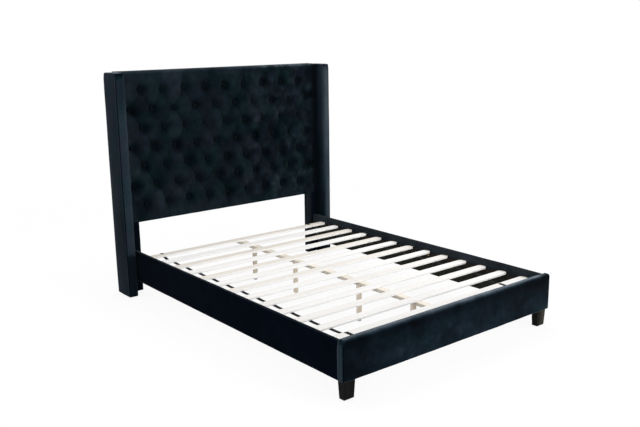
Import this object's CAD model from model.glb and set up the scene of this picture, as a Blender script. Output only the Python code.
# %% [markdown]
# # Dressing a wingback bed in velvet and wood
# The bed has a tall headboard tufted in diamonds, a wing at each side of it, two rails, a
# padded footboard and thirteen slats on a centre beam. The construction arrives as a packed
# frame of plain solids at their real size. Blender gives it what shows: foam, velvet, seams,
# wood grain and steel. Every piece takes its place and size from the frame, so the scene only adds
# finish and fine shape.

import itertools
import math

import bpy
import numpy as np
from mathutils import Matrix, Vector


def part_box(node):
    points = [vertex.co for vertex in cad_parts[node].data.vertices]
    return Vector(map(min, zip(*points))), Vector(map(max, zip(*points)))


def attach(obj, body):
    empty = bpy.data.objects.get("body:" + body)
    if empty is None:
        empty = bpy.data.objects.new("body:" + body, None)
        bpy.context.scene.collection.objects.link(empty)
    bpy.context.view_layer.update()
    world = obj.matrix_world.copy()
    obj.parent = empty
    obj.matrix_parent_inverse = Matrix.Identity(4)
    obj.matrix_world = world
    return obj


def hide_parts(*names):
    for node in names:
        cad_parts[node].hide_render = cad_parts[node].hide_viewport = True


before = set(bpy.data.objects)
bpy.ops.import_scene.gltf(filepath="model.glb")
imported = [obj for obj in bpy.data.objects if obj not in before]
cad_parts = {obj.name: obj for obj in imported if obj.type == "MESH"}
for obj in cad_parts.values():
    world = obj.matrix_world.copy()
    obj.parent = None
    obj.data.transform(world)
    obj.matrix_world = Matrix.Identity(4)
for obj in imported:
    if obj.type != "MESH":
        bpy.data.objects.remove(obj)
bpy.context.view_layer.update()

# %% [markdown]
# ## The camera
# A product picture like this one is taken from standing height, at the foot's left corner. Its
# place was found by matching the straight edges of the rails, the slats and the headboard with
# the solids, so the values are a real camera's: a place in metres, three angles and a lens.

# %% Stand the camera at the foot's left corner
camera_place = Vector((-3.0348, -3.7558, 1.7015))
camera_yaw = 38.847
camera_pitch = 12.811
camera_roll = 0.762
camera_lens = 44.88

camera_data = bpy.data.cameras.new("studio_camera")
camera_data.lens = camera_lens
camera_data.sensor_width = 36
camera = bpy.data.objects.new("studio_camera", camera_data)
aim = Matrix.Rotation(math.radians(-camera_yaw), 4, "Z")
tilt = Matrix.Rotation(math.radians(90 - camera_pitch), 4, "X")
lean = Matrix.Rotation(math.radians(-camera_roll), 4, "Z")
camera.matrix_world = Matrix.Translation(camera_place) @ aim @ tilt @ lean
bpy.context.scene.collection.objects.link(camera)
bpy.context.scene.camera = camera
print("camera looks", camera_pitch, "degrees down through a", camera_lens, "mm lens")

# %% [markdown]
# ## Wiring materials
# Blender builds a finish from nodes. Making each node takes three lines, so a small class keeps
# the tree and offers the few moves that all the finishes below are made of: noise, a blend of two
# colours, a remapped value and a bump. The noise is read from the piece's own coordinates, in
# metres, so its scale is a real one and no unwrapping is needed.

# %% A finish and the moves that build it
class Wiring:
    """The node tree of a material or of the world, with short calls that add to it"""

    def __init__(self, tree):
        self.tree = tree

    def node(self, kind, values=None, **settings):
        """Adds a node: values are its sockets, settings its own properties"""
        made = self.tree.nodes.new(kind)
        for name, value in settings.items():
            setattr(made, name, value)
        for socket, value in (values or {}).items():
            self.set(made.inputs[socket], value)
        return made

    def set(self, socket, value):
        """Gives a socket a number or a colour, or links another node's output to it"""
        if isinstance(value, bpy.types.NodeSocket):
            self.tree.links.new(value, socket)
        else:
            socket.default_value = value

    def sum(self, a, b, kind="ADD"):
        """Adds, multiplies or otherwise joins two values"""
        return self.node("ShaderNodeMath", {0: a, 1: b}, operation=kind).outputs[0]

    def seen(self):
        """1 for rays that come from the camera, also by way of gloss or glass, and 0 for light"""
        ray = self.node("ShaderNodeLightPath").outputs
        shiny = self.sum(ray["Is Glossy Ray"], ray["Is Transmission Ray"], "MAXIMUM")
        return self.sum(ray["Is Camera Ray"], shiny, "MAXIMUM")


class Finish(Wiring):
    """One material, with the moves that velvet, wood and steel are made of"""

    def __init__(self, name):
        self.material = bpy.data.materials.new(name)
        self.material.use_nodes = True
        super().__init__(self.material.node_tree)
        self.shader = self.tree.nodes["Principled BSDF"]
        self.place = self.node("ShaderNodeTexCoord").outputs["Object"]

    def noise(self, stretch, detail, twist=0.0, shift=(0, 0, 0)):
        """Noise whose patches have a size of 1 / stretch metres along each axis"""
        spot = self.node("ShaderNodeMapping", {"Vector": self.place, "Scale": stretch, "Location": shift})
        values = {"Vector": spot.outputs[0], "Scale": 1.0, "Detail": detail, "Distortion": twist}
        return self.node("ShaderNodeTexNoise", values).outputs["Fac"]

    def remap(self, value, low, high, to_low=0.0, to_high=1.0):
        """Moves the range low to high onto another one, with a soft start and end"""
        values = {"Value": value, "From Min": low, "From Max": high, "To Min": to_low, "To Max": to_high}
        return self.node("ShaderNodeMapRange", values, interpolation_type="SMOOTHSTEP").outputs["Result"]

    def blend(self, share, first, second):
        """Mixes two colours by a share from 0 to 1"""
        values = {0: share, 6: first, 7: second}
        return self.node("ShaderNodeMix", values, data_type="RGBA").outputs[2]

    def about(self, noise, size):
        """Noise as a push up or down that seldom passes size either way"""
        values = {0: noise, 1: 4 * size, 2: -2 * size}
        return self.node("ShaderNodeMath", values, operation="MULTIPLY_ADD").outputs[0]

    def at(self, axis):
        """Where a point lies along an axis, in metres"""
        return self.node("ShaderNodeSeparateXYZ", {0: self.place}).outputs[axis]

    def plain(self, kind, value):
        """Puts one value through a function such as FLOOR or ABSOLUTE"""
        return self.node("ShaderNodeMath", {0: value}, operation=kind).outputs[0]

    def painted(self):
        """The colour that the finish has so far"""
        return self.shader.inputs["Base Color"].links[0].from_socket

    def scaled(self, paint, tone):
        """A colour made lighter or darker by a factor"""
        return self.node("ShaderNodeVectorMath", {0: paint, "Scale": tone}, operation="SCALE").outputs[0]

    def value(self, name):
        """Reads a value that is kept on the points of the mesh"""
        return self.node("ShaderNodeAttribute", attribute_name=name).outputs["Fac"]

    def bump(self, height, depth, strength):
        """Turns a height from 0 to 1 into relief of that depth in metres"""
        values = {"Height": height, "Distance": depth, "Strength": strength}
        self.set(self.shader.inputs["Normal"], self.node("ShaderNodeBump", values).outputs[0])

    def fix(self, **values):
        """Sets the shader's own sockets, such as Roughness or Metallic"""
        for name, value in values.items():
            self.set(self.shader.inputs[name.replace("_", " ")], value)


def colour(red, green, blue):
    """A colour with full opacity"""
    return (red, green, blue, 1.0)


# %% [markdown]
# ## Velvet
# Velvet is a cloth of upright hairs. Looked at straight on, the eye falls between the hairs and the
# cloth is almost black. Along the cloth, the hairs' sides catch the light and it shines pale.
# A rough shader with no gloss and a sheen layer does the same. A hand that strokes the pile lays
# it over, and then a whole patch turns lighter or darker. Photographers count light in stops, each
# twice as bright as the last, so here every patch, streak and face of a piece adds or takes stops.
# What belongs to one place on one piece is kept on its mesh, as a value called nap. The patterns
# below say how often each of them changes along X, Y and Z, per metre.

# %% Mix the velvet finish
sweeps = (3.3, 3.3, 3.3)
crushes = (19, 19, 19)
combs = (24, 24, 2.0)
faded_spots = (8, 8, 8)
hair_clumps = (170, 170, 170)
single_hairs = (1500, 1500, 1500)
pile_relief = 0.0006


def velvet(name, level, sheen, sheen_rough, brushed, streaks=0.0, hues=0.4, shift=0.0, blue=1.4):
    """Near-black navy pile. level is its plain lightness, brushed and streaks are in stops"""
    cloth = Finish(name)
    swept = cloth.noise(sweeps, detail=2, twist=0.8, shift=(shift, 0, 0))
    crushed = cloth.noise(crushes, detail=3, twist=1.2, shift=(0, shift, 0))
    hair = cloth.noise(hair_clumps, detail=2)
    stops = cloth.sum(cloth.value("nap"), cloth.about(swept, brushed))
    stops = cloth.sum(stops, cloth.about(crushed, 0.7 * brushed))
    stops = cloth.sum(stops, cloth.about(hair, 0.18))
    if streaks:
        combed = cloth.noise(combs, detail=3, twist=0.4, shift=(shift, shift, 0))
        stops = cloth.sum(stops, cloth.about(combed, streaks))
    worn = cloth.remap(cloth.noise(faded_spots, detail=2, shift=(0, 0, shift)), 0.38, 0.62, 0.0, hues)
    dark = cloth.blend(worn, colour(0.38, 1.0, blue), colour(0.66, 0.94, 1.15 * blue))
    pale = colour(0.78, 1.0, 1.22)
    dye = cloth.blend(cloth.remap(stops, -0.5, 2.6), dark, pale)
    light = cloth.sum(level, cloth.sum(2.0, stops, "POWER"), "MULTIPLY")
    cloth.fix(Base_Color=cloth.scaled(dye, light), Specular_IOR_Level=0.0)
    cloth.fix(Roughness=cloth.remap(crushed, 0.3, 0.7, 0.86, 1.0))
    cloth.fix(Sheen_Weight=sheen, Sheen_Roughness=sheen_rough, Sheen_Tint=colour(0.82, 0.91, 1.0))
    relief = cloth.sum(cloth.noise(single_hairs, detail=1), cloth.sum(hair, 1.5, "MULTIPLY"))
    cloth.bump(relief, pile_relief, 0.45)
    return cloth


def keep_nap(made, stops):
    """Keeps the stops of each point on the mesh for the velvet to read"""
    nap = made.data.attributes.new("nap", "FLOAT", "POINT")
    nap.data.foreach_set("value", np.asarray(stops, np.float32))


tufted_velvet = velvet("tufted_velvet", 0.0101, 0.11, 0.34, brushed=0.40, hues=0.8, blue=1.28)
button_velvet = velvet("button_velvet", 0.0056, 0.14, 0.30, brushed=0.3, shift=2)
wing_velvet = velvet("wing_velvet", 0.0128, 0.55, 0.24, brushed=0.30, streaks=0.35, hues=1.0, shift=4)
base_velvet = velvet("base_velvet", 0.0027, 0.40, 0.22, brushed=0.40, hues=0.5, shift=8, blue=2.1)
foot_velvet = velvet("footboard_velvet", 0.0100, 0.50, 0.28, brushed=0.60, streaks=0.16, shift=12, blue=1.54)
print("velvets:", [m.name for m in bpy.data.materials if "velvet" in m.name])

# %% [markdown]
# Inside the bed nobody looks below the slats, so the rails' velvet ends there and a plain black
# cloth goes on down, which the gaps between the slats show. Velvet and cloth are one mesh, so the
# finish itself tells them apart by place.

# %% Line the rails below the slats
rail_low, rail_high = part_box("rail_cover_right")
slat_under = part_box("slat_01")[0].z
plain_cloth = colour(0.0215, 0.0238, 0.0192)
cloth_join = 0.004

from_middle = base_velvet.plain("ABSOLUTE", base_velvet.at("X"))
inside = base_velvet.remap(from_middle, rail_low.x + 0.0015, rail_low.x + 0.0045, 1.0, 0.0)
below = base_velvet.remap(base_velvet.at("Z"), slat_under - cloth_join, slat_under + cloth_join, 1.0, 0.0)
before_leg = base_velvet.remap(base_velvet.at("Y"), rail_high.y - cloth_join, rail_high.y, 1.0, 0.0)
lined = base_velvet.sum(base_velvet.sum(inside, below, "MULTIPLY"), before_leg, "MULTIPLY")
base_velvet.fix(Base_Color=base_velvet.blend(lined, base_velvet.painted(), plain_cloth))
print("rails lined below", round(slat_under, 3), "m")

# %% [markdown]
# ## Wood
# A board is a slice through growth rings, so its face shows long bands that follow the tree. A
# noise stretched along the board gives the bands, a finer one the pores, and both steer colour,
# gloss and a very shallow relief. Scale is along X, Y and Z: the small number is the grain's way.

# %% Mix the wood finishes
def wood(name, pale, dark, grain, gloss):
    """Sawn or stained wood. grain gives how often the bands change along X, Y and Z, per metre"""
    board = Finish(name)
    rings = board.noise(grain, detail=4, twist=1.4)
    fine = board.noise(tuple(12 * g for g in grain), detail=2)
    share = board.sum(rings, board.sum(fine, 0.25, "MULTIPLY"))
    share = board.remap(share, 0.22, 0.90)
    board.fix(Base_Color=board.blend(share, colour(*pale), colour(*dark)))
    board.fix(Roughness=board.remap(share, 0.0, 1.0, gloss, gloss + 0.14))
    board.bump(fine, 0.00025, 0.35)
    return board


slat_wood = wood("slat_birch", (0.90, 0.897, 0.892), (0.80, 0.783, 0.760), (1.6, 22, 22), gloss=0.6)
beam_wood = wood("beam_pine", (0.88, 0.84, 0.77), (0.70, 0.635, 0.54), (22, 1.4, 22), gloss=0.6)
post_wood = wood("post_pine", (0.66, 0.60, 0.51), (0.48, 0.41, 0.32), (26, 26, 2.2), gloss=0.6)
timber = wood("frame_timber", (0.66, 0.50, 0.31), (0.46, 0.31, 0.17), (3, 3, 30), gloss=0.65)
plywood = wood("headboard_plywood", (0.62, 0.47, 0.30), (0.44, 0.31, 0.18), (2, 60, 26), gloss=0.65)
espresso_wood = wood("espresso_foot", (0.0060, 0.0056, 0.0053), (0.0024, 0.0023, 0.0025), (30, 30, 4),
                     gloss=0.46)
espresso_wood.fix(Specular_IOR_Level=0.05)
ledge_wood = wood("ledge_black", (0.013, 0.0095, 0.0075), (0.006, 0.0046, 0.0038), (20, 1.5, 20), gloss=0.6)
ledge_wood.fix(Specular_IOR_Level=0.12)
print("woods:", slat_wood.material.name, beam_wood.material.name, espresso_wood.material.name)

# %% [markdown]
# Timber is never of one shade. The beam is planed on top and left rough at its sides. The post
# nearest the headboard is darker than the other three, and the stain of the right foot is rubbed
# thin toward its outer edge. Birch slats from one pack turn out white or cream by turns, their cut
# ends are darker, and their long edges are freshly sawn.

# %% Vary the beam, the posts and the feet
def toward(finish, axis, low, high):
    """Share from 0 to 1 of a point that faces along an axis, one way or the other"""
    normal = finish.node("ShaderNodeNewGeometry").outputs["Normal"]
    facing = finish.node("ShaderNodeSeparateXYZ", {0: normal}).outputs[axis]
    return finish.remap(finish.sum(facing, facing, "MULTIPLY"), low, high)


rough_pine = colour(0.58, 0.53, 0.45)
thin_stain = colour(0.033, 0.0297, 0.024)

rough_side = toward(beam_wood, "X", 0.3, 0.8)
beam_wood.fix(Base_Color=beam_wood.blend(rough_side, beam_wood.painted(), rough_pine))
paler = post_wood.remap(post_wood.at("Y"), 0.35, 0.60, 1.42, 1.0)
post_wood.fix(Base_Color=post_wood.scaled(post_wood.painted(), paler))
outer_part = espresso_wood.remap(espresso_wood.at("X"), 0.715, 0.768)
rubbed = espresso_wood.sum(outer_part, toward(espresso_wood, "Y", 0.5, 0.9), "MULTIPLY")
espresso_wood.fix(Base_Color=espresso_wood.blend(rubbed, espresso_wood.painted(), thin_stain))
print("varied:", beam_wood.material.name, post_wood.material.name, espresso_wood.material.name)

# %% Give every slat its own shade of birch
slat_count = 13
slat_low, slat_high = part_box("slat_01")
last_slat_low, last_slat_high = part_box("slat_%02d" % slat_count)
slat_pitch = (last_slat_low.y - slat_low.y) / (slat_count - 1)
slat_top = slat_high.z
cream_birch = colour(0.68, 0.625, 0.545)
fresh_birch = colour(0.93, 0.92, 0.905)
end_grain = colour(0.60, 0.50, 0.36)

along = slat_wood.at("Y")
number = slat_wood.sum(slat_wood.sum(along, slat_low.y - 0.03, "SUBTRACT"), slat_pitch, "DIVIDE")
odd = slat_wood.sum(slat_wood.plain("FLOOR", number), 1.0, "PINGPONG")
even = slat_wood.sum(1.0, odd, "SUBTRACT")
toward_head = slat_wood.remap(along, slat_low.y, last_slat_high.y, 0.10, 0.80)
cream = slat_wood.sum(even, toward_head, "MULTIPLY")
shade = slat_wood.blend(cream, slat_wood.painted(), cream_birch)
from_middle = slat_wood.plain("ABSOLUTE", slat_wood.at("X"))
cut = slat_wood.remap(from_middle, slat_high.x - 0.022, slat_high.x - 0.006, 0.0, 0.45)
shade = slat_wood.blend(cut, shade, end_grain)
tone = slat_wood.remap(along, slat_low.y, last_slat_high.y, 0.92, 1.07)
tone = slat_wood.sum(tone, slat_wood.remap(slat_wood.at("X"), -0.1, 0.7, 1.0, 1.12), "MULTIPLY")
long_edge = toward(slat_wood, "Y", 0.3, 0.8)
slat_wood.fix(Base_Color=slat_wood.blend(long_edge, slat_wood.scaled(shade, tone), fresh_birch))
print("slats every", round(slat_pitch, 4), "m")

# %% [markdown]
# ## Steel, plastic and plain cloth
# The brackets are powder coated, which dries to a fine orange peel. The bolts are zinc plated and
# the wood screws have the yellow of passivated zinc. The glides are moulded plastic. The back
# lining and the webbing are dull woven cloth. All of them stay in the shadow behind or under the
# bed, so a little noise in colour and gloss is all they need.

# %% Mix the small finishes
def coated(name, shade, gloss, metal, peel):
    """Metal or plastic with a gloss that varies and a relief of peel metres"""
    part = Finish(name)
    flecks = part.noise((700, 700, 700), detail=2)
    clouds = part.noise((30, 30, 30), detail=3)
    dull = tuple(0.72 * c for c in shade)
    part.fix(Base_Color=part.blend(part.remap(clouds, 0.35, 0.65), colour(*shade), colour(*dull)))
    part.fix(Roughness=part.remap(clouds, 0.3, 0.7, gloss - 0.08, gloss + 0.08), Metallic=metal)
    part.bump(flecks, peel, 0.6)
    return part


bracket_steel = coated("bracket_steel", (0.020, 0.020, 0.022), 0.45, 0.0, 0.0003)
bolt_steel = coated("bolt_steel", (0.62, 0.62, 0.62), 0.32, 1.0, 0.00004)
screw_steel = coated("screw_steel", (0.36, 0.28, 0.14), 0.44, 1.0, 0.00004)
glide_plastic = coated("glide_plastic", (0.032, 0.032, 0.034), 0.48, 0.0, 0.0001)
nylon = coated("foot_nylon", (0.55, 0.55, 0.54), 0.5, 0.0, 0.0001)


def woven(name, shade, threads):
    """Plain dull cloth, its threads crossing so many times a metre, with faint clouds of dust"""
    cloth = Finish(name)
    clouds = cloth.noise((4, 4, 4), detail=4)
    warp = cloth.noise((threads, threads, 0.04 * threads), detail=1)
    weft = cloth.noise((0.04 * threads, 0.04 * threads, threads), detail=1)
    dusty = tuple(1.22 * c for c in shade)
    share = cloth.sum(cloth.remap(clouds, 0.3, 0.7, 0.0, 0.7), cloth.remap(warp, 0.4, 0.6, 0.0, 0.3))
    cloth.fix(Base_Color=cloth.blend(share, colour(*shade), colour(*dusty)), Specular_IOR_Level=0.1)
    cloth.fix(Roughness=cloth.remap(clouds, 0.3, 0.7, 0.86, 0.96))
    cloth.bump(cloth.sum(warp, weft), 0.0003, 0.6)
    return cloth


lining_cloth = woven("back_cloth", (0.0125, 0.0128, 0.0140), 900)
webbing = woven("webbing", (0.0100, 0.0100, 0.0108), 700)
print("metal and plastic:", bracket_steel.material.name, bolt_steel.material.name, nylon.material.name)

# %% [markdown]
# ## Building meshes
# A piece is computed as arrays of points and faces, moved about as arrays, and only then handed
# to Blender. That is quick, gives the same mesh on every run, and lets one formula shape a hundred
# thousand points. Two helpers cover most of the bed: one makes the object, the other is a soft
# random value that drifts from place to place, which stands for the unevenness of hand work.

# %% From arrays to a piece on the bed
def piece(name, points, faces, finish, body="bed_frame"):
    """Makes a mesh object of these points, gives it a finish and seats it on a body of the bed"""
    mesh = bpy.data.meshes.new(name)
    mesh.from_pydata([tuple(p) for p in points], [], [tuple(f) for f in faces])
    mesh.validate()
    mesh.polygons.foreach_set("use_smooth", [True] * len(mesh.polygons))
    mesh.materials.append(finish.material)
    made = bpy.data.objects.new(name, mesh)
    bpy.context.scene.collection.objects.link(made)
    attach(made, body)
    return made


def drift(points, size, seed):
    """Soft random value from about -1 to 1 at each point, changing over size metres"""
    scatter = (73856093, 19349663, 83492791)
    table = np.random.default_rng(seed).uniform(-1, 1, 4096)
    cell = np.asarray(points) / size
    corner = np.floor(cell).astype(int)
    part = cell - corner
    part = part * part * (3 - 2 * part)
    total = np.zeros(len(cell))
    for offset in itertools.product((0, 1), repeat=3):
        key = (corner + offset) @ scatter
        weight = np.prod(np.where(offset, part, 1 - part), axis=1)
        total += weight * table[key % len(table)]
    return total


def strip_faces(rows, columns, closed=False):
    """Quads between the rows of a grid of points, joined round where closed"""
    faces = []
    for i in range(rows - 1):
        for j in range(columns if closed else columns - 1):
            k = (j + 1) % columns
            faces.append((i * columns + j, i * columns + k, (i + 1) * columns + k, (i + 1) * columns + j))
    return faces


def tube_faces(rings, sides):
    """Quads round a row of rings, and a face that closes each end"""
    ends = [tuple(range(sides))[::-1], tuple(range((rings - 1) * sides, rings * sides))]
    return strip_faces(rings, sides, closed=True) + ends


# %% [markdown]
# ## The tufted pad
# On the real headboard a sheet of foam is glued to plywood, velvet is laid over it, and each
# button is pulled to the board with twine. Between the buttons the cloth folds into pleats, which
# make diamonds. Sculpting that by hand is slow and a cloth simulation seldom finds the pleats, so
# the face is computed: a crowned cushion between every four pleats, and a pit at every button.

# %% Read the lattice of buttons from the frame
pad_low, pad_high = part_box("headboard_pad")
button_low, button_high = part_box("tuft_buttons")
button_radius = 0.013
widest_step = 4.5
tuft_rows = 7

tuft_width = (button_high.x - button_radius) / widest_step
row_first = button_high.z - button_radius
row_last = button_low.z + button_radius
row_pitch = (row_first - row_last) / (tuft_rows - 1)

buttons = []
for row in range(tuft_rows):
    reach = math.floor(widest_step) if row % 2 == 0 else widest_step
    for place in np.arange(-reach, reach + 1):
        buttons.append((place * tuft_width, row_first - row * row_pitch))
buttons = np.array(buttons)
print(len(buttons), "buttons,", round(tuft_width, 4), "m apart, rows", round(row_pitch, 4), "m apart")

# %% [markdown]
# The nap of the pad follows the same lattice. A pit is darkest beside its button and a little
# below it, each one by its own chance. Pleats are dark lines. The right part of the panel was
# stroked more than the left, so its lumps and its top edge stand out more.

# %% How deep the velvet lies at a point of the face
pit_depth = 0.030
pleat_depth = 0.0092
pit_wide = 0.034
pit_narrow = 0.075
side_roll = 0.024
side_depth = 0.012
gather_depth = 0.0012
gather_folds = 9
gather_radius = 0.030
gather_width = 0.014
shade_beside = 0.017
shade_below = 0.003
shade_wander = 0.005
shade_width = 0.037
diamond_chance = np.random.default_rng(17).uniform(-1, 1, (64, 64))
button_chance = np.random.default_rng(19).uniform(-1, 1, (len(buttons), 4))
pleat_gap = 1 / math.hypot(1 / tuft_width, 1 / (2 * row_pitch))


def step(value, low, high):
    """Soft step from 0 at low to 1 at high"""
    part = np.clip((value - low) / (high - low), 0, 1)
    return part * part * (3 - 2 * part)


def lattice(x, z):
    """Place in the lattice: u + v is whole along one set of pleats and u - v along the other"""
    u = np.clip(x / tuft_width, -widest_step, widest_step)
    v = np.clip((z - row_first) / (2 * row_pitch), -(tuft_rows - 1) / 2, 0)
    own = diamond_chance[np.floor(u + v).astype(int) % 64, np.floor(u - v).astype(int) % 64]
    return u, v, own


def nearest_button(x, z):
    """Offset and distance from the closest button, and its number"""
    gap = np.hypot(x[:, None] - buttons[:, 0], z[:, None] - buttons[:, 1])
    number = gap.argmin(axis=1)
    return x - buttons[number, 0], z - buttons[number, 1], gap[np.arange(len(x)), number], number


def tufting(x, z, share, up):
    """Depth behind the crown of the face. share fades the pleats on the rolls, up is 1 on the top"""
    u, v, own = lattice(x, z)
    ridge = np.abs(np.sin(np.pi * (u + v)) * np.sin(np.pi * (u - v)))
    crown = ridge ** 0.72 * (1 + 0.09 * own)
    side, above, r, number = nearest_button(x, z)
    pit = 0.6 * np.exp(-(r / pit_wide) ** 2) + 0.4 * np.clip(1 - r / pit_narrow, 0, 1) ** 2.2
    gather = gather_depth * np.cos(gather_folds * np.arctan2(above, side) + number)
    gather *= np.exp(-((r - gather_radius) / gather_width) ** 2)
    edge = np.clip((pad_high.x - np.abs(x)) / side_roll, 0, 1)
    rolled = side_depth * (1 - np.sqrt(1 - (1 - edge) ** 2)) * (1 - 0.8 * up)
    pleats = pleat_depth * (1.08 - crown) * share
    return np.clip(pleats + (pit_depth - pleat_depth) * pit + gather * share + rolled, 0, pit_depth)


def pad_nap(x, z, share, up):
    """Nap of the pad in stops: dark in the pits and pleats, each diamond and lump a little its own"""
    u, v, own = lattice(x, z)
    side, above, r, number = nearest_button(x, z)
    spots = np.stack((x, np.zeros(len(x)), z), axis=1)
    right = step(x, -0.1, 0.5)
    chance = button_chance[number]
    wide = shade_width * (1 + 0.20 * chance[:, 0])
    beside = (side - shade_beside - shade_wander * chance[:, 1]) / wide
    over = (above + shade_below + shade_wander * chance[:, 2]) / wide
    pit = np.exp(-beside ** 2 - over ** 2) * (1.25 + 0.5 * chance[:, 3])
    down_line = np.abs(u + v - np.round(u + v)) * pleat_gap
    pleat = np.exp(-(down_line / 0.006) ** 2 - r / 0.06)
    lumps = (0.30 + 0.45 * right) * drift(spots, 0.050, 5) + 0.25 * drift(spots, 0.13, 6)
    lumps += (0.15 + 0.35 * right) * drift(spots, 0.024, 7)
    nap = 0.28 * own + lumps - pit * (1 - up) - 0.8 * pleat * share
    nap += 0.18 * (1 - step(x, -0.50, -0.10)) + 0.45 * (1 - step(x, -0.77, -0.64))
    return nap + (0.75 + 2.2 * right) * up - 1.3 * step(x, 0.765, 0.800)


nothing = np.zeros(1)
print("depth at a button:", tufting(buttons[:1, 0], buttons[:1, 1], nothing + 1, nothing).round(4))

# %% [markdown]
# The cloth doesn't stop at the top of the face. It rolls over the edge of the foam and runs back
# to the wall side, and so it does below. So the pad is a profile from back to front to back, swept
# across the bed. Each point is then pushed in along the profile's own direction, which lets the
# pleats run round the roll as folds do. The columns stand on the lattice's own lines, so a pleat
# always falls on a row of edges and stays crisp.

# %% Lay out the profile and the columns
roll_top = 0.022
roll_low = 0.006
cell_steps = 20
back_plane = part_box("headboard_back_cover")[0].y - 0.0003


def profile():
    """Points (y, z), outward directions and the pleats' share, from the lower back to the top back"""
    rows = []
    front = pad_low.y
    low, high = pad_low.z, pad_high.z
    for y in np.linspace(back_plane, front + roll_low, 9)[:-1]:
        rows.append((y, low, 0, -1, 0.05))
    for turn in np.linspace(0, math.pi / 2, 7)[:-1]:
        ahead, down = math.sin(turn), math.cos(turn)
        y = front + roll_low * (1 - ahead)
        z = low + roll_low * (1 - down)
        rows.append((y, z, -ahead, -down, 0.05 + 0.35 * ahead))
    inner = np.linspace(row_last, row_first, 6 * cell_steps + 1)
    below = np.linspace(low + roll_low, row_last, 20)[:-1]
    above = np.linspace(row_first, high - roll_top, 20)[1:]
    for z in np.concatenate((below, inner)):
        rows.append((front, z, -1, 0, 0.40 + 0.60 * min(1, (z - low - roll_low) / 0.05)))
    for z in above:
        rows.append((front, z, -1, 0, 0.75 + 0.25 * min(1, (high - roll_top - z) / 0.04)))
    for turn in np.linspace(0, math.pi / 2, 9)[1:]:
        ahead, up = math.cos(turn), math.sin(turn)
        y = front + roll_top * (1 - ahead)
        z = high - roll_top * (1 - up)
        rows.append((y, z, -ahead, up, 0.30 + 0.45 * ahead))
    for y in np.linspace(front + roll_top, back_plane, 9)[1:]:
        rows.append((y, high, 0, 1, 0.30 - 0.2 * (y - front) / (back_plane - front)))
    return np.array(rows)


inner_columns = np.linspace(-widest_step, widest_step, 18 * cell_steps + 1) * tuft_width
outer_columns = np.linspace(inner_columns[-1], pad_high.x, 20)[1:]
columns = np.concatenate((-outer_columns[::-1], inner_columns, outer_columns))
rows = profile()
print("pad grid:", len(rows), "by", len(columns))

# %% Push the velvet in and close the pad
grid = np.repeat(rows, len(columns), axis=0)
at_x = np.tile(columns, len(rows))
at_y, at_z, out_y, out_z, share = grid.T
up = np.clip(out_z, 0, 1)
depth = tufting(at_x, at_z, share, up)
level = np.stack((at_x, at_y, at_z), axis=1)
outward = np.stack((np.zeros(len(grid)), out_y, out_z), axis=1)
uneven = 0.0007 * (1 - drift(level, 0.09, 3)) * share
pad_points = level - outward * (depth + uneven)[:, None]

pad_faces = [f[::-1] for f in strip_faces(len(rows), len(columns))]
wide = len(columns)
for j, turn in ((0, 1), (wide - 1, -1)):
    rim = [i * wide + j for i in range(len(rows))]
    pad_faces.append(tuple(rim[::turn]))
rim = [(len(rows) - 1) * wide + j for j in range(wide)] + [j for j in reversed(range(wide))]
pad_faces.append(tuple(rim[::-1]))

tufted_pad = piece("tufted_pad", pad_points, pad_faces, tufted_velvet)
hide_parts("headboard_pad")
keep_nap(tufted_pad, pad_nap(at_x, at_z, share, up))
print("tufted pad:", len(pad_points), "points, deepest", round(float(depth.max()), 4))

# %% [markdown]
# ## The covered buttons
# A covered button is a metal shell with a scrap of velvet pressed over it, so it has a low dome, a
# soft rim and tiny puckers where the cloth is gathered behind. One profile is turned round the
# button's axis. Each button is tipped a little by its twine, since no two are ever pulled alike.

# %% Turn the buttons
button_profile = [(0.0045, -0.0015), (0.0048, 0.0050), (0.0115, 0.0066), (0.0128, 0.0082), (0.0130, 0.0098),
                  (0.0122, 0.0116), (0.0100, 0.0133), (0.0068, 0.0146), (0.0032, 0.0152), (0.0004, 0.0154)]
button_turns = 28
button_tip = 0.09
puckers = 7
tips = np.random.default_rng(21)

button_points = []
button_faces = []
for x, z in buttons:
    start = len(button_points)
    tip_x, tip_z = tips.uniform(-button_tip, button_tip, 2)
    for radius, height in button_profile:
        for k in range(button_turns):
            angle = 2 * math.pi * k / button_turns
            pucker = 1 + 0.035 * math.cos(puckers * angle) * (0.006 < radius)
            side = radius * pucker * math.cos(angle)
            up = radius * pucker * math.sin(angle)
            ahead = height + tip_x * side + tip_z * up
            button_points.append((x + side, button_high.y - ahead, z + up))
    for a, b, c, d in strip_faces(len(button_profile), button_turns, closed=True):
        button_faces.append((start + a, start + b, start + c, start + d))
    top = start + (len(button_profile) - 1) * button_turns
    button_faces.append(tuple(range(top, top + button_turns)))

velvet_buttons = piece("velvet_buttons", button_points, button_faces, button_velvet)
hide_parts("tuft_buttons")
print("buttons:", len(buttons), "with", len(button_faces), "faces")

# %% [markdown]
# ## Upholstered boards
# Wings, legs, rails and the footboard are boards wrapped in foam and velvet: blocks whose edges are
# rounded by the foam and whose faces swell a little between them. A bevelled cube would do, but its
# big flat faces leave nothing to shape. So the block is a fine grid over six sides: each point
# is drawn back to the rounded form, and a formula then moves it along its own outward direction.

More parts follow.
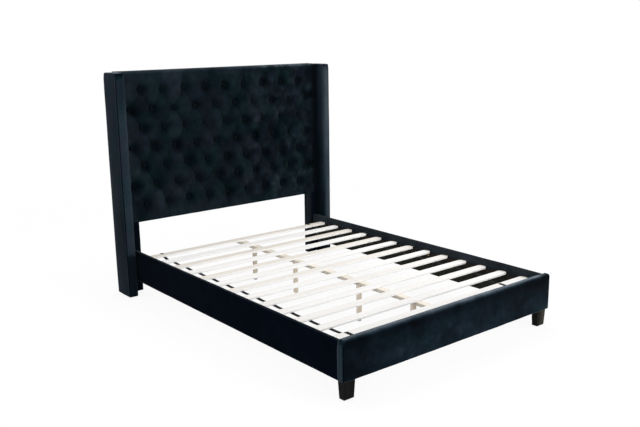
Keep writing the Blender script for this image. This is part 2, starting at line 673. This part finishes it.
# %% A block with rounded edges as an even grid
def block(low, high, radius, spacing, turns):
    """Points, outward directions and faces of a block. radius may be a function of the points"""
    low, high = np.array(low, float), np.array(high, float)
    widest = radius if np.isscalar(radius) else radius.widest
    bend = widest * np.tan(np.linspace(0, math.pi / 4, turns + 1))
    lines = []
    for axis in range(3):
        inner = high[axis] - low[axis] - 2 * widest
        count = max(2, int(round(inner / spacing[axis])) + 1)
        middle = np.linspace(low[axis] + widest, high[axis] - widest, count)
        before, after = low[axis] + widest - bend[:0:-1], high[axis] - widest + bend[1:]
        lines.append(np.concatenate((before, middle, after)))
    points = []
    faces = []
    for axis in range(3):
        b, c = (axis + 1) % 3, (axis + 2) % 3
        for end in (0, 1):
            start = len(points)
            for at_b in lines[b]:
                for at_c in lines[c]:
                    spot = [0.0, 0.0, 0.0]
                    spot[axis] = (low, high)[end][axis]
                    spot[b], spot[c] = at_b, at_c
                    points.append(spot)
            for quad in strip_faces(len(lines[b]), len(lines[c])):
                quad = [start + q for q in quad]
                faces.append(quad[::-1] if end else quad)
    points = np.array(points)
    microns = (points * 1e6).round().astype(int)
    first, same = np.unique(microns, axis=0, return_index=True, return_inverse=True)[1:]
    points = points[first]
    same = same.reshape(-1)
    faces = [tuple(int(same[q]) for q in quad) for quad in faces]
    r = np.full(len(points), radius) if np.isscalar(radius) else radius(points)
    core = np.clip(points, low + r[:, None], high - r[:, None])
    outward = points - core
    outward /= np.linalg.norm(outward, axis=1)[:, None]
    return core + outward * r[:, None], outward, faces


def swell(points, low, high, outward, height, power=0.5):
    """How far the foam pushes each face out: nothing at the face's edges and height in its middle"""
    share = np.ones(len(points))
    for axis in range(3):
        part = np.clip((points[:, axis] - low[axis]) / (high[axis] - low[axis]), 0, 1)
        rise = np.clip(4 * part * (1 - part), 0, 1) ** power
        facing = np.abs(outward[:, axis])
        share *= facing + (1 - facing) * rise
    return height * share


def groove(distance, depth, width):
    """A sewn line, a fold or the ridge beside one: full depth on the line, fading over width"""
    return depth * np.exp(-(distance / width) ** 2)


# %% [markdown]
# ## The wings
# Each wing is sewn from wide side panels and a narrow front strip, so a seam runs down both of its
# front corners. The thread pulls the foam in and leaves a thin dark line with a soft ridge on each
# side. At the top the strip is folded over like the end of a parcel. The strip's nap was brushed
# up, so it is paler than the sides, but dark in its lowest part and at the fold. All of this is a
# formula of where a point lies on the wing, for the shape and for the nap alike. In the nap, the
# heights z are in metres above the floor and the factors before the steps are in stops.

# %% Upholster the wings
wing_seam_depth = 0.0045
wing_seam_width = 0.0020
ridge_beside = 0.0065
wing_hem = 0.0006
fold_height = 0.042
fold_width = 0.0020
strip_change = 0.285


class WingEdge:
    """Rounding of a wing's edges: tight all over, fuller at the upper outer corner"""
    widest = 0.0120
    tight = 0.0045

    def __init__(self, top, outer):
        self.top = top
        self.outer = outer

    def __call__(self, points):
        up = np.clip((points[:, 2] - self.top + 0.035) / 0.025, 0, 1)
        out = np.clip(1.3 - np.abs(points[:, 0] - self.outer) / 0.030, 0, 1)
        return self.tight + (self.widest - self.tight) * up * out


def wing_shape(side):
    """Points, outward directions, faces, and what each point's place on the wing is"""
    low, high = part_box("wing_cover_" + side)
    low.z -= wing_hem
    way = 1 if side == "right" else -1
    outer = high.x if side == "right" else low.x
    points, outward, faces = block(low, high, WingEdge(high.z, outer), (0.006, 0.0075, 0.011), turns=9)
    place = {"front": np.clip(-outward[:, 1], 0, 1), "inner": np.clip(-way * outward[:, 0], 0, 1),
             "outer": np.clip(way * outward[:, 0], 0, 1), "up": np.clip(outward[:, 2], 0, 1),
             "from_inner": 1 - np.abs(points[:, 0] - outer) / (high.x - low.x),
             "drop": high.z - points[:, 2], "ahead": points[:, 1] - low.y}
    corner = WingEdge.tight * (1 - math.sqrt(0.5))
    place["seam"] = np.full(len(points), 1.0)
    for edge in (low.x + corner, high.x - corner):
        away = np.hypot(points[:, 0] - edge, points[:, 1] - low.y - corner)
        place["seam"] = np.minimum(place["seam"], away)
    place["below_fold"] = place["drop"] - fold_height * (0.42 + 0.58 * place["from_inner"])
    place["folded"] = 1 - step(place["below_fold"], -0.0015, 0.0015)
    return low, high, points, outward, faces, place


def wing_nap(side, z, place, seed, points):
    """Nap of a wing in stops, from the place of each point"""
    waver = 0.010 * drift(points, 0.03, seed + 2)
    lifted = step(z + waver, strip_change - 0.006, strip_change + 0.006)
    crease = groove(place["below_fold"], 1.0, fold_width) + 1.6 * (1 - step(place["drop"], 0.008, 0.014))
    glow = step(1 - place["from_inner"], 0.72, 0.95)
    if side == "left":
        strip = 0.20 + 0.75 * (1 - step(z, 1.12, 1.36)) + 0.4 * glow
        inner = np.full(len(z), -0.5)
        outer = -0.6 * (1 - step(z, 0.45, 0.95)) + 0.25 * (1 - step(z, 0.18, 0.32))
    else:
        strip = 1.30 + 0.9 * step(place["from_inner"], 0, 0.5) - 0.5 * step(place["from_inner"], 0.65, 0.95)
        strip -= (1.1 - place["from_inner"]) * (1 - step(z, 0.45, 0.85))
        forward = np.clip((0.075 - place["ahead"] - 0.02 * (1 - step(z, 0.6, 1.1))) / 0.075, 0, 1)
        inner = -1.3 + 2.9 * forward ** 0.65 * (0.45 + 0.55 * step(z, 0.42, 0.62))
        outer = np.zeros(len(z))
    strip = strip * lifted - 0.5 * (1 - lifted) - 0.9 * place["folded"] - 0.8 * crease
    dark_seam = groove(place["seam"], 2.2 if side == "left" else 0.77, wing_seam_width)
    nap = place["front"] * strip + place["inner"] * inner + place["outer"] * outer
    return nap + 0.3 * place["up"] - dark_seam


def upholster_wing(side, seed):
    """Velvet, seams and fold of one wing, over its core"""
    low, high, points, outward, faces, place = wing_shape(side)
    move = swell(points, low, high, outward, 0.0024) * (1 + place["outer"])
    move += 0.0007 * drift(points, 0.17, seed) + 0.0003 * drift(points, 0.05, seed + 1)
    move += groove(place["seam"] - ridge_beside, 0.0009, 0.003)
    move -= groove(place["seam"], wing_seam_depth, wing_seam_width)
    move -= place["front"] * (0.0032 * place["folded"] + groove(place["below_fold"], 0.0024, fold_width))
    move *= 1 - 0.5 * np.clip(-outward[:, 2], 0, 1)
    moved = points + outward * move[:, None]
    made = piece("wing_upholstery_" + side, moved, faces, wing_velvet)
    keep_nap(made, wing_nap(side, points[:, 2], place, seed, points))
    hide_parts("wing_cover_" + side)
    return made


for side, seed in (("left", 31), ("right", 41)):
    made = upholster_wing(side, seed)
    print(made.name, len(made.data.vertices), "points")

# %% [markdown]
# ## Legs and rails
# The legs below the pad and the two rails have only a thin layer of foam, so they are firm and
# straight, with a slight wave where the staples pull. Their velvet lies with its nap away from the
# light and looks almost black outside, and paler on the inner faces. The covers' ends run a few
# millimetres into their neighbours, so no joint gapes. The legs' velvet is that much fuller toward
# the middle of the bed.

# %% Upholster the legs and the rails
hidden_tuck = 0.004
leg_hem = 0.0005


def upholster_board(name, node, radius, spacing, grow, seed):
    """Velvet over one plain board. grow says how far its low and its high corner move outward"""
    low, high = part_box(node)
    low, high = low - Vector(grow[0]), high + Vector(grow[1])
    points, outward, faces = block(low, high, radius, spacing, turns=5)
    move = swell(points, low, high, outward, 0.0014)
    move += 0.0005 * drift(points, 0.13, seed) - 0.0004 + 0.0002 * drift(points, 0.035, seed + 1)
    made = piece(name, points + outward * move[:, None], faces, base_velvet)
    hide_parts(node)
    return made, points, outward


for side, way, seed in (("left", -1, 51), ("right", 1, 61)):
    grow = (hidden_tuck * (way > 0), 0, leg_hem), (hidden_tuck * (way < 0), 0, hidden_tuck)
    leg, points, outward = upholster_board("leg_upholstery_" + side, "leg_cover_" + side, 0.0032,
                                           (0.008, 0.008, 0.012), grow, seed)
    inner = np.clip(-way * outward[:, 0], 0, 1)
    ahead = np.clip(-outward[:, 1], 0, 1)
    inner_part = 1 - step(np.abs(points[:, 0]), 0.745, 0.758)
    brushed = (side == "right") * (0.15 + 1.5 * inner_part)
    keep_nap(leg, 2.3 * inner + ahead * (brushed + 0.6))
    tuck = (0, hidden_tuck, 0)
    rail, points, outward = upholster_board("rail_upholstery_" + side, "rail_cover_" + side, 0.0045,
                                            (0.008, 0.014, 0.008), (tuck, tuck), seed + 5)
    inner = np.clip(-way * outward[:, 0], 0, 1)
    toward_wing = np.clip(way * outward[:, 0], 0, 1) * step(points[:, 1], 0.3, 1.0)
    keep_nap(rail, 3.2 * inner - 0.5 * toward_wing + 1.2 * np.clip(outward[:, 2], 0, 1))
    print(leg.name, rail.name, len(rail.data.vertices), "points")

# %% [markdown]
# ## The footboard
# The footboard is the softest board: its foam is thick, so the top edge is a full roll and the
# face swells. The lower edge is stapled tight and stays sharp. One radius can't give both, so the
# block takes a radius that grows with height. Shallow pulls in the cloth run up from the staples,
# and a seam runs down each front corner. The right end swells at the top and is drawn in below.

# %% Upholster the footboard
foot_low, foot_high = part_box("footboard_cover")


class FootboardEdge:
    """Rounding of the footboard's edges, tight below and full at the top"""
    widest = 0.0145
    tight = 0.0055
    corner = tight * (1 - math.sqrt(0.5))

    def __call__(self, points):
        full = step(points[:, 2], foot_high.z - 0.055, foot_high.z - 0.010)
        return self.tight + (self.widest - self.tight) * full


points, outward, faces = block(foot_low, foot_high, FootboardEdge(), (0.010, 0.006, 0.006), turns=8)
at_x, at_y, at_z = points.T
face = np.clip(-outward[:, 1], 0, 1)
right_end = np.clip(outward[:, 0], 0, 1)
rise = (at_z - foot_low.z) / (foot_high.z - foot_low.z)
from_end = foot_high.x - FootboardEdge.corner - np.abs(at_x)
seam = np.hypot(from_end, at_y - foot_low.y - FootboardEdge.corner)
end_swell = 0.0035

move = swell(points, foot_low, foot_high, outward, 0.0030, power=0.6)
move += 0.0009 * drift(points, 0.16, 71) + 0.0004 * drift(points, 0.045, 72)
move += 0.0006 * drift(points * (1, 0, 0.12), 0.035, 73) * np.clip(1 - rise, 0, 1) * face
move -= groove(seam, 0.0030, 0.0022)
move += right_end * end_swell * (step(rise, 0.80, 0.92) - 1 + step(rise, 0.35, 0.80))
moved = points + outward * move[:, None]
footboard = piece("footboard_upholstery", moved, faces, foot_velvet)
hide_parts("footboard_cover")
print("footboard:", len(points), "points")

# %% [markdown]
# Hands have stroked the nap of the face into patches. It lies dark in a band below the top roll,
# toward the ends, and most of all at the lower left corner. The top roll shines, since it is seen
# along the cloth, and so does the fold at the left end. The seams are dark lines. Places are in
# metres and amounts in stops.

# %% Stroke the footboard's nap
shaded_band = step(at_z, foot_high.z - 0.066, foot_high.z - 0.026)
toward_ends = 1 - np.exp(-(at_x / 0.45) ** 2)
shaded_end = 0.5 * toward_ends * step(rise, 0.30, 0.60) * (1 + 0.4 * np.sign(at_x))
shaded_end += step(at_x, 0.50, 0.76) * step(rise, 0.45, 0.80)
hand = 0.50 * drift(points * (1, 0, 1.5), 0.085, 74) + 0.32 * drift(points * (1, 0, 1.3), 0.030, 75)
low_left = 0.20 * step(-at_x, 0.10, 0.50) + 0.55 * np.exp(-((at_x + 0.31) / 0.13) ** 2)
low_left *= 1 - step(rise, 0.30, 0.65)
dark_corner = 0.95 * step(-at_x, 0.57, 0.72) * (1 - 0.8 * step(rise, 0.35, 0.75))
stops = face * (-0.45 - 0.8 * shaded_band - shaded_end + hand + low_left - dark_corner)
top_roll = np.clip(outward[:, 2], 0, 1) * (3.6 - 0.5 * step(-at_x, -0.20, 0.50))
top_roll *= 1 - step(at_x, 0.700, 0.775)
stops += top_roll + 1.6 * np.clip(-outward[:, 0], 0, 1) - 1.2 * right_end
folded = step(at_z, foot_high.z - 0.028, foot_high.z - 0.018)
folded *= 1 - step(at_x - foot_low.x, 0.004, 0.014)
stops = stops * (1 - folded) + 0.6 * folded - groove(seam, 1.8, 0.0035)
keep_nap(footboard, stops)
print("footboard's nap from", round(stops.min(), 1), "to", round(stops.max(), 1), "stops")

# %% [markdown]
# ## The back lining
# Behind the headboard a thin black cloth hides the frame. It is cut to the panel, its edge is
# turned under, and staples hold it every few centimetres. It is a real sheet, stretched flat, so it
# is modelled as one, with faint ripples between the staples.

# %% Stretch the lining over the back
lining_low, lining_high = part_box("headboard_back_cover")
staple_gap = 0.055
hem_line = 0.007
hem_inner = 0.014
hem_slope = 0.004


def lining_back(x, z):
    """Y of the lining's outer face: it touches the frame at the staples and lifts off between them"""
    from_side = np.minimum(x - lining_low.x, lining_high.x - x)
    from_end = np.minimum(z - lining_low.z, lining_high.z - z)
    waves = (1 + np.cos(2 * math.pi * (x - lining_low.x) / staple_gap)) * np.exp(-from_end / 0.035)
    waves += (1 - np.cos(2 * math.pi * (z - lining_low.z) / staple_gap)) * np.exp(-from_side / 0.035)
    spots = np.stack((x, np.zeros(len(x)), z), axis=1)
    edge = np.minimum(from_side, from_end)
    slack = 0.0007 * (1 + drift(spots, 0.2, 81)) * np.clip(edge / 0.08, 0, 1)
    hem = 0.0005 * np.clip((hem_inner - edge) / hem_slope, 0, 1)
    return lining_low.y + 0.0005 + 0.0005 * waves + slack + hem


def lining_lines(low, high, count):
    """Even lines across the cloth, and two more at each end for the step of the hem"""
    hem_outer = hem_inner - hem_slope
    hem = (low + hem_outer, low + hem_inner, high - hem_inner, high - hem_outer)
    return np.unique(np.concatenate((np.linspace(low, high, count), hem)))


xs = lining_lines(lining_low.x, lining_high.x, 201)
zs = lining_lines(lining_low.z, lining_high.z, 127)
flat_x, flat_z = (g.ravel() for g in np.meshgrid(xs, zs))
lining_points = np.stack((flat_x, lining_back(flat_x, flat_z), flat_z), axis=1)
lining = piece("back_lining", lining_points, strip_faces(len(zs), len(xs)), lining_cloth)
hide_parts("headboard_back_cover")

# %% [markdown]
# ## Straps
# Two black webbing straps keep the slats apart. Each runs below all the slats, comes up round the
# outer edge of the first and the last one, and ends in a flap stapled on top. The webbing is woven
# with ribs along its length, and it sags by a hair between two slats. It is a ribbon swept
# along a path, with the ribs in its own cross-section so that they are real and not painted.

# %% Weave the straps
strap_low, strap_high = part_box("strap_left")
strap_width = strap_high.x - strap_low.x
slat_width = slat_high.y - slat_low.y
web = 0.0014
foot_flap = 0.052
head_flap = 0.022
sag = 0.0022


def corner_turn(y, z, start):
    """A quarter turn of the strap round a slat's edge, from the angle start"""
    for turn in np.linspace(start, start + math.pi / 2, 7):
        out_y, out_z = math.cos(turn), math.sin(turn)
        yield y + web * out_y, z + web * out_z, out_y, out_z


def strap_path():
    """Points (y, z) of the strap's outer face and its outward directions, from flap to flap"""
    first, last = slat_low.y, last_slat_high.y
    path = [(y, slat_top + web, 0, 1) for y in np.linspace(first + foot_flap, first, 14)[:-1]]
    path += corner_turn(first, slat_top, math.pi / 2)
    path += corner_turn(first, slat_under, math.pi)
    for k in range(slat_count):
        start = first + k * slat_pitch
        for y in np.linspace(start, start + slat_width, 4)[1:]:
            path.append((y, slat_under - web, 0, -1))
        if k < slat_count - 1:
            for part in np.linspace(0, 1, 9)[1:]:
                y = start + slat_width + part * (slat_pitch - slat_width)
                path.append((y, slat_under - web - sag * 4 * part * (1 - part), 0, -1))
    path += corner_turn(last, slat_under, -math.pi / 2)
    path += corner_turn(last, slat_top, 0)
    path += [(y, slat_top + web, 0, 1) for y in np.linspace(last, last - head_flap, 8)[1:]]
    return np.array(path)


path = strap_path()
rib_across = np.linspace(-0.5, 0.5, 23)
ribs = 7
rib_height = 0.00018 * np.cos(2 * math.pi * ribs * rib_across)
inner_face = 0.86 * web
foot_pull = {"left": 0.012, "right": -0.089}
head_pull = {"left": 0.018, "right": -0.010}


def strap_middle(side, y):
    """X of the strap's middle line: each end is stapled a little off the straight line"""
    low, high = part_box("strap_" + side)
    to_foot = step(-y, -slat_low.y - 1.9 * slat_pitch, -slat_low.y - 0.01)
    to_head = step(y, last_slat_high.y - slat_pitch, last_slat_high.y)
    return (low.x + high.x) / 2 + foot_pull[side] * to_foot + head_pull[side] * to_head


def weave_strap(side):
    """One ribbon with ribbed faces along the strap's path"""
    points = []
    for y, z, out_y, out_z in path:
        middle = strap_middle(side, y)
        for part, rib in zip(rib_across, rib_height):
            points.append((middle + part * strap_width, y + rib * out_y, z + rib * out_z))
        for part, rib in zip(rib_across[::-1], rib_height[::-1]):
            points.append((middle + part * strap_width, y - inner_face * out_y, z - inner_face * out_z))
    faces = tube_faces(len(path), 2 * len(rib_across))
    made = piece("webbing_strap_" + side, points, faces, webbing)
    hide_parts("strap_" + side)
    return made


for side in ("left", "right"):
    made = weave_strap(side)
    print(made.name, len(made.data.vertices), "points")

# %% [markdown]
# ## Staples
# Staples hold the lining's hem all round and the flaps of the straps. A staple is a bent wire, of
# which only the crown shows. A ring of six points is carried along the bend, once for each staple,
# and all of them make one piece.

# %% Shoot the staples
staple_crown = 0.0095
wire_radius = 0.0004
wire_sides = 6
staple_bend = ((-0.5, -0.0012, -1, 0), (-0.5, 0, -0.7, 0.7), (0.5, 0, 0.7, 0.7), (0.5, -0.0012, 1, 0))
staple_points = []
staple_faces = []


def staple(spot, along, out):
    """One staple at spot, its crown lying along one direction and its legs going in against out"""
    spot, along, out = (np.array(v, float) for v in (spot, along, out))
    sideways = np.cross(out, along)
    start = len(staple_points)
    for part, depth, lean_along, lean_out in staple_bend:
        heart = spot + along * part * staple_crown + out * (0.6 * wire_radius + depth)
        lean = along * lean_along + out * lean_out
        for k in range(wire_sides):
            angle = 2 * math.pi * k / wire_sides
            around = math.cos(angle) * sideways + math.sin(angle) * lean
            staple_points.append(tuple(heart + wire_radius * around))
    for quad in strip_faces(len(staple_bend), wire_sides, closed=True):
        staple_faces.append(tuple(start + q for q in quad))


for z in (lining_low.z + hem_line, lining_high.z - hem_line):
    for x in np.arange(lining_low.x + staple_gap / 2, lining_high.x, staple_gap):
        staple((x, lining_back(np.array([x]), np.array([z]))[0], z), (1, 0, 0), (0, 1, 0))
for x in (lining_low.x + hem_line, lining_high.x - hem_line):
    for z in np.arange(lining_low.z + staple_gap, lining_high.z - staple_gap / 2, staple_gap):
        staple((x, lining_back(np.array([x]), np.array([z]))[0], z), (0, 0, 1), (0, 1, 0))
for side in ("left", "right"):
    for y in (slat_low.y + 0.018, slat_low.y + 0.040, last_slat_high.y - 0.013):
        staple((strap_middle(side, y), y, slat_top + web + 0.0001), (1, 0, 0), (0, 0, 1))
piece("staples", staple_points, staple_faces, bolt_steel)
print("staples:", len(staple_points) // (wire_sides * len(staple_bend)))

# %% [markdown]
# ## Levelling feet
# A levelling foot is a moulded pad on a threaded stud that screws up into its post. It is the one
# thing on this bed that moves. The thread is a real helix here: a ring of points climbs one pitch a
# turn, and its radius follows the thread's flanks. Each foot rides on its own body, pad and stud
# together, so both rise and fall with the joint.

# %% Thread a stud and mould its pad
stud_radius = 0.004
thread_pitch = 0.00125
thread_depth = 0.0006
stud_sides = 24
stud_foot = 0.0078


def thread(middle, low, high):
    """Stud with a helical thread from low to high round the vertical through middle"""
    steps = int((high - low) / thread_pitch * 4)
    points = []
    for i in range(steps + 1):
        for k in range(stud_sides):
            angle = 2 * math.pi * k / stud_sides
            z = low + (high - low) * i / steps
            phase = (z / thread_pitch - k / stud_sides) % 1.0
            radius = stud_radius - thread_depth * abs(2 * phase - 1)
            points.append((middle.x + radius * math.cos(angle), middle.y + radius * math.sin(angle), z))
    return points, tube_faces(steps + 1, stud_sides)


def lathe(middle, outline, sides):
    """Turns an outline of (radius, height) round the vertical through middle"""
    points = []
    for radius, z in outline:
        for k in range(sides):
            angle = 2 * math.pi * k / sides
            points.append((middle.x + radius * math.cos(angle), middle.y + radius * math.sin(angle), z))
    return points, tube_faces(len(outline), sides)


pad_outline = [(0.0125, 0.0), (0.0138, 0.0006), (0.0140, 0.0018), (0.0140, 0.0036), (0.0134, 0.0044),
               (0.0112, 0.0052), (0.0078, 0.0058), (0.0066, 0.0064), (0.0062, 0.0076), (0.0056, 0.0080)]
for number in (1, 2, 3, 4):
    name = "levelling_foot_%d" % number
    low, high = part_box(name)
    middle = (low + high) / 2
    points, faces = lathe(middle, pad_outline, 40)
    foot_pad = piece("foot_pad_%d" % number, points, faces, nylon, body=name)
    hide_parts(name)
    points, faces = thread(middle, stud_foot, high.z)
    piece("threaded_stud_%d" % number, points, faces, bolt_steel, body=name)
    print(name, "stud", round(high.z - stud_foot, 4), "m long")

# %% [markdown]
# ## Finishes on the solid parts
# The slats, the beam, the posts, the feet, the hidden boards and all the fasteners already have
# their true shape in the frame. They keep it and only get a finish, chosen by the start of the
# part's name.

# %% Finish the parts that keep their shape
kept_parts = {
    "slat_ledge": ledge_wood, "slat_": slat_wood, "centre_beam": beam_wood, "post_": post_wood,
    "foot_left": espresso_wood, "foot_right": espresso_wood, "corner_bracket": bracket_steel,
    "beam_bracket": bracket_steel, "foot_bolts": bolt_steel, "frame_bolts": bolt_steel,
    "wood_screws": screw_steel, "floor_glides": glide_plastic, "headboard_board": plywood,
    "headboard_stile": timber, "headboard_rail": timber, "wing_core": timber, "leg_core": timber,
    "rail_board": timber, "footboard_board": timber,
}
dressed = 0
for name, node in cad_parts.items():
    finish = next((kept_parts[start] for start in kept_parts if name.startswith(start)), None)
    if finish is not None:
        node.data.materials.clear()
        node.data.materials.append(finish.material)
        dressed += 1
print("parts dressed:", dressed)

# %% [markdown]
# ## Light and floor
# A product studio is white all round: light comes softly from everywhere, a little more from
# above. So the world gives even light, and three wide lamps add a direction. The floor is white
# and catches the bed's shadow. Seen by the camera it is lifted most of the way to pure white, as
# the picture shows it, and it melts into the white world some metres out.

# %% Light the studio
world_light = 0.78
lamps = (("top_lamp", (0.2, 0.7, 4.2), (0, 0.5, 0.3), 4.5, 76),
         ("left_lamp", (-4.6, -2.0, 2.6), (0, 0, 0.6), 2.6, 34),
         ("front_lamp", (1.8, -5.4, 2.2), (0, 0.4, 0.6), 2.6, 95))

for name, place, target, width, power in lamps:
    data = bpy.data.lights.new(name, "AREA")
    data.shape = "SQUARE"
    data.size = width
    data.energy = power
    lamp = bpy.data.objects.new(name, data)
    lamp.location = place
    lamp.rotation_euler = (Vector(target) - Vector(place)).to_track_quat("-Z", "Y").to_euler()
    bpy.context.scene.collection.objects.link(lamp)

world = bpy.data.worlds.new("white_studio")
world.use_nodes = True
bpy.context.scene.world = world
sky = Wiring(world.node_tree)
strength = sky.node("ShaderNodeMapRange", {"Value": sky.seen(), "To Min": world_light, "To Max": 1.0})
background = sky.tree.nodes["Background"]
sky.set(background.inputs["Color"], colour(1, 1, 1))
sky.set(background.inputs["Strength"], strength.outputs["Result"])
print("lamps:", [lamp[0] for lamp in lamps], "world", world_light)

# %% Lay the floor
floor_radius = 9.0
floor_rings = 24
floor_sides = 96
floor_points = [(0.0, 0.0, 0.0)]
for i in range(1, floor_rings + 1):
    for k in range(floor_sides):
        angle = 2 * math.pi * k / floor_sides
        reach = floor_radius * i / floor_rings
        floor_points.append((reach * math.cos(angle), reach * math.sin(angle), 0.0))
floor_faces = [(0, 1 + k, 1 + (k + 1) % floor_sides) for k in range(floor_sides)]
for a, b, c, d in strip_faces(floor_rings, floor_sides, closed=True):
    floor_faces.append((a + 1, d + 1, c + 1, b + 1))
floor_mesh = bpy.data.meshes.new("studio_floor")
floor_mesh.from_pydata(floor_points, [], floor_faces)
floor = bpy.data.objects.new("studio_floor", floor_mesh)
bpy.context.scene.collection.objects.link(floor)

paint = Finish("studio_floor")
paint.fix(Base_Color=colour(0.95, 0.95, 0.95), Roughness=0.9, Specular_IOR_Level=0.0)
glow = paint.node("ShaderNodeEmission", {"Color": colour(1, 1, 1), "Strength": 1.0})
far = paint.node("ShaderNodeVectorMath", {0: paint.place}, operation="LENGTH").outputs["Value"]
lift = paint.remap(far, 2.2, 6.0, 0.88, 1.0)
share = paint.sum(lift, paint.seen(), "MULTIPLY")
mix = paint.node("ShaderNodeMixShader", {0: share, 1: paint.shader.outputs[0], 2: glow.outputs[0]})
paint.set(paint.tree.nodes["Material Output"].inputs["Surface"], mix.outputs[0])
floor.data.materials.append(paint.material)
print("floor:", len(floor_faces), "faces")

# %% [markdown]
# The white of the studio is pure white and velvet is nearly black, so the colours go out as they
# are, without the curve of a film.

# %% Keep the colours as they are
bpy.context.scene.view_settings.view_transform = "Standard"
